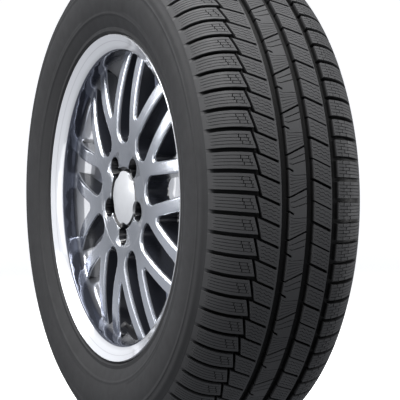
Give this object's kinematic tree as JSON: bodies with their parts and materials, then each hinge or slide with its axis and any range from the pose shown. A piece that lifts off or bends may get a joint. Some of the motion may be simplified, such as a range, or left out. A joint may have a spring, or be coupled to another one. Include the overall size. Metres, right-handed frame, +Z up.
{
  "type": "winter tyre on alloy wheel",
  "caption": "Winter tyre with an asymmetric block tread, fitted on a bright cast alloy wheel with forked spokes, a hub bore and recessed bolt holes.",
  "frame": {"origin": "the wheel's centre, on the axle line and in the middle plane between the two bead seats", "axes": "+Y along the axle towards the car, so the outboard face looks along -Y; +Z up"},
  "size_m": [0.714, 0.245, 0.714],
  "materials": {
    "tyre_rubber": "moulded rubber, satin",
    "polished_alloy": "bright silver under clear lacquer",
    "silver_cap": "bright silver lacquer",
    "valve_rubber": "moulded rubber",
    "valve_brass": "turned brass",
    "valve_plastic": "moulded plastic"
  },
  "bodies": {
    "root": {"tyre_casing": "tyre_rubber", "tyre_tread": "tyre_rubber", "wheel_barrel": "polished_alloy", "wheel_spokes": "polished_alloy", "centre_cap": "silver_cap", "valve_stem": "valve_rubber", "valve_tube": "valve_brass", "valve_core": "valve_brass", "valve_cap": "valve_plastic"}
  },
  "joints": []
}
